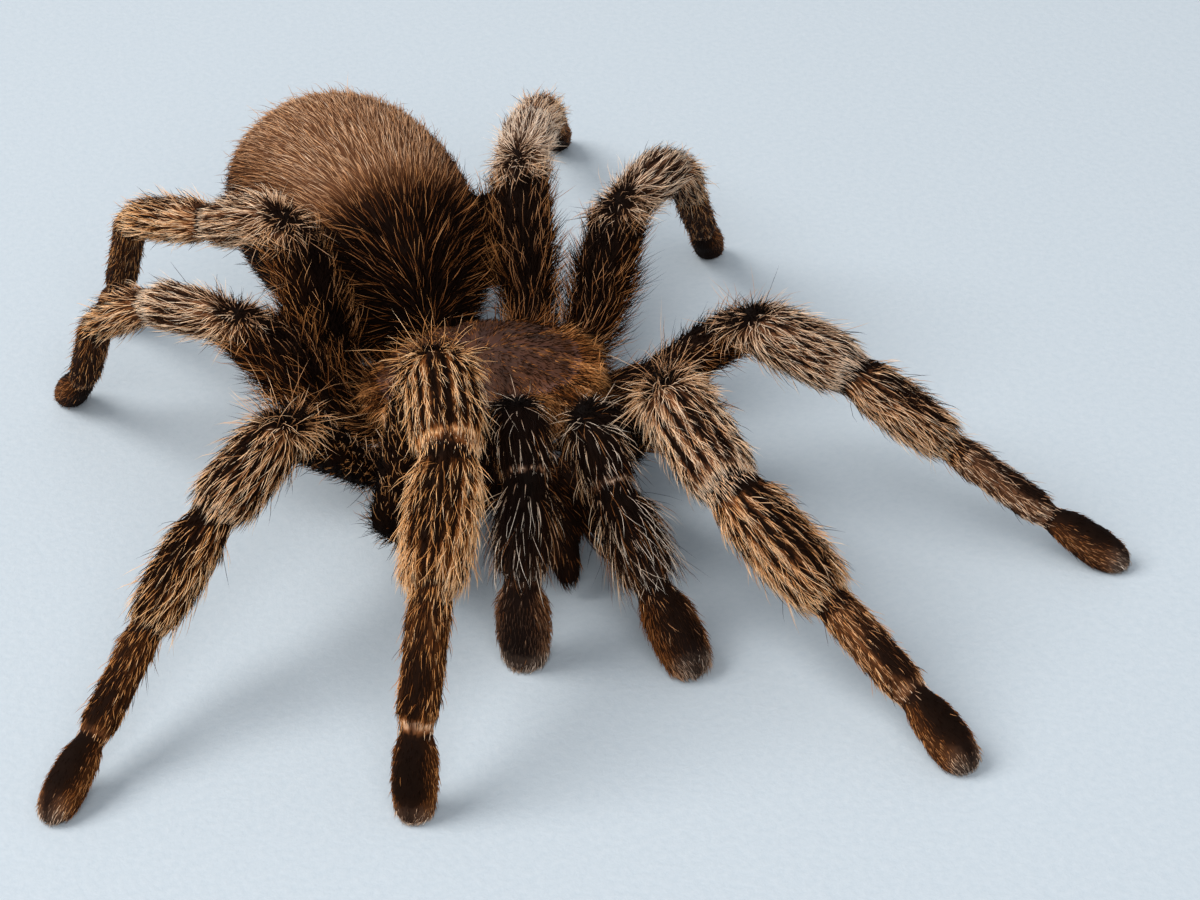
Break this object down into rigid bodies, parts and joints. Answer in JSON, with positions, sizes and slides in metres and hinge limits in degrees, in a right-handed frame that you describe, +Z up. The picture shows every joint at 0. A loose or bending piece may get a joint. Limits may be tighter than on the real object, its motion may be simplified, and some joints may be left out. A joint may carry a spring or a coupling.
{
  "type": "tarantula",
  "caption": "Adult female tarantula standing still, furred brown-black legs and palps with tan stripes, a coppery oval abdomen and a bare, brown domed carapace.",
  "frame": {"origin": "on the floor, under the centre of the animal's bounding box", "axes": "+Z up; the animal faces -Y; +X is its left side"},
  "size_m": [0.0924, 0.118, 0.028],
  "materials": {
    "leg_fur": "dense hair, brown-black with tan stripes",
    "palp_fur": "dense dark hair",
    "abdomen_fur": "short coppery velvet with longer hairs",
    "carapace_shell": "short flat pile on chitin, with a pink-brown sheen",
    "dark_shell": "smooth dark chitin",
    "eye_lens": "clear gloss over black"
  },
  "bodies": {
    "root": {"left_leg_1_femur": "leg_fur", "left_leg_1_patella": "leg_fur", "left_leg_1_tibia": "leg_fur", "left_leg_1_foot": "leg_fur", "left_leg_2_femur": "leg_fur", "left_leg_2_patella": "leg_fur", "left_leg_2_tibia": "leg_fur", "left_leg_2_foot": "leg_fur", "left_leg_3_femur": "leg_fur", "left_leg_3_patella": "leg_fur", "left_leg_3_tibia": "leg_fur", "left_leg_3_foot": "leg_fur", "left_leg_4_femur": "leg_fur", "left_leg_4_patella": "leg_fur", "left_leg_4_tibia": "leg_fur", "left_leg_4_foot": "leg_fur", "left_palp_femur": "palp_fur", "left_palp_patella": "palp_fur", "left_palp_tibia": "palp_fur", "left_palp_tarsus": "palp_fur", "left_chelicera": "palp_fur", "left_fang": "dark_shell", "left_spinneret": "abdomen_fur", "left_eye_median_front": "eye_lens", "left_eye_lateral_front": "eye_lens", "left_eye_lateral_back": "eye_lens", "left_eye_median_back": "eye_lens", "right_leg_1_femur": "leg_fur", "right_leg_1_patella": "leg_fur", "right_leg_1_tibia": "leg_fur", "right_leg_1_foot": "leg_fur", "right_leg_2_femur": "leg_fur", "right_leg_2_patella": "leg_fur", "right_leg_2_tibia": "leg_fur", "right_leg_2_foot": "leg_fur", "right_leg_3_femur": "leg_fur", "right_leg_3_patella": "leg_fur", "right_leg_3_tibia": "leg_fur", "right_leg_3_foot": "leg_fur", "right_leg_4_femur": "leg_fur", "right_leg_4_patella": "leg_fur", "right_leg_4_tibia": "leg_fur", "right_leg_4_foot": "leg_fur", "right_palp_femur": "palp_fur", "right_palp_patella": "palp_fur", "right_palp_tibia": "palp_fur", "right_palp_tarsus": "palp_fur", "right_chelicera": "palp_fur", "right_fang": "dark_shell", "right_spinneret": "abdomen_fur", "right_eye_median_front": "eye_lens", "right_eye_lateral_front": "eye_lens", "right_eye_lateral_back": "eye_lens", "right_eye_median_back": "eye_lens", "sternum": "palp_fur", "carapace": "carapace_shell", "abdomen": "abdomen_fur"}
  },
  "joints": []
}
